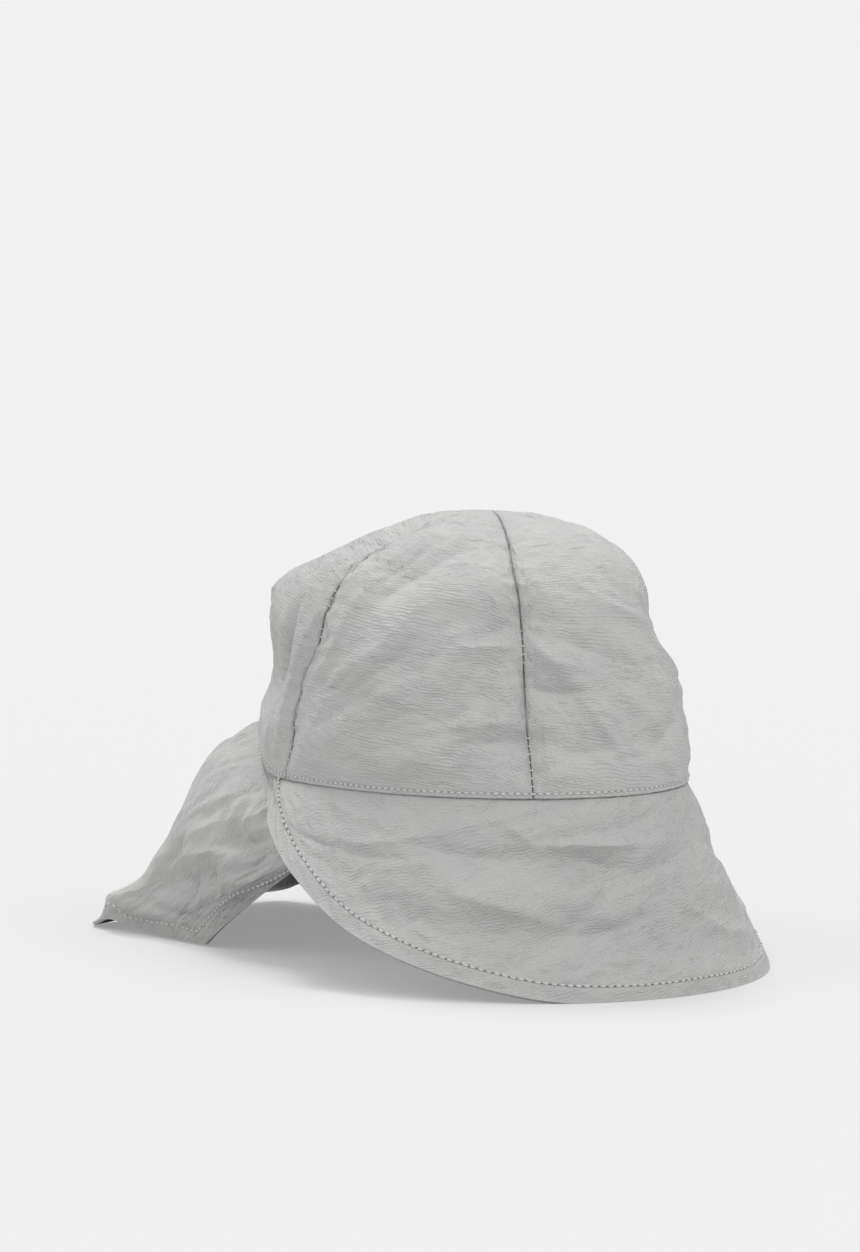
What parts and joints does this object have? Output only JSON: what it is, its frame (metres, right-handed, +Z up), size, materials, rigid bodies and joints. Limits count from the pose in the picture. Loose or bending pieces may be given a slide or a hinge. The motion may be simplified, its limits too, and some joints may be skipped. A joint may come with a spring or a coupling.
{
  "type": "legionnaire cap",
  "caption": "Child's sun cap in thin crinkled nylon: a rounded panelled crown, a wide stitched visor and a gathered neck flap, standing open on its rim.",
  "frame": {"origin": "middle of the footprint, on the surface the cap stands on", "axes": "+Z up, -Y to the cap's front, -X to the cap's own right"},
  "size_m": [0.1814, 0.283, 0.1689],
  "materials": {
    "crown_nylon": "matt crinkled nylon, light grey",
    "visor_nylon": "matt crinkled nylon, light grey",
    "flap_nylon": "matt crinkled nylon, light grey"
  },
  "bodies": {
    "root": {"crown_front": "crown_nylon", "crown_side_right": "crown_nylon", "crown_side_left": "crown_nylon", "crown_back_right": "crown_nylon", "crown_back_left": "crown_nylon", "visor": "visor_nylon", "neck_flap": "flap_nylon"}
  },
  "joints": []
}
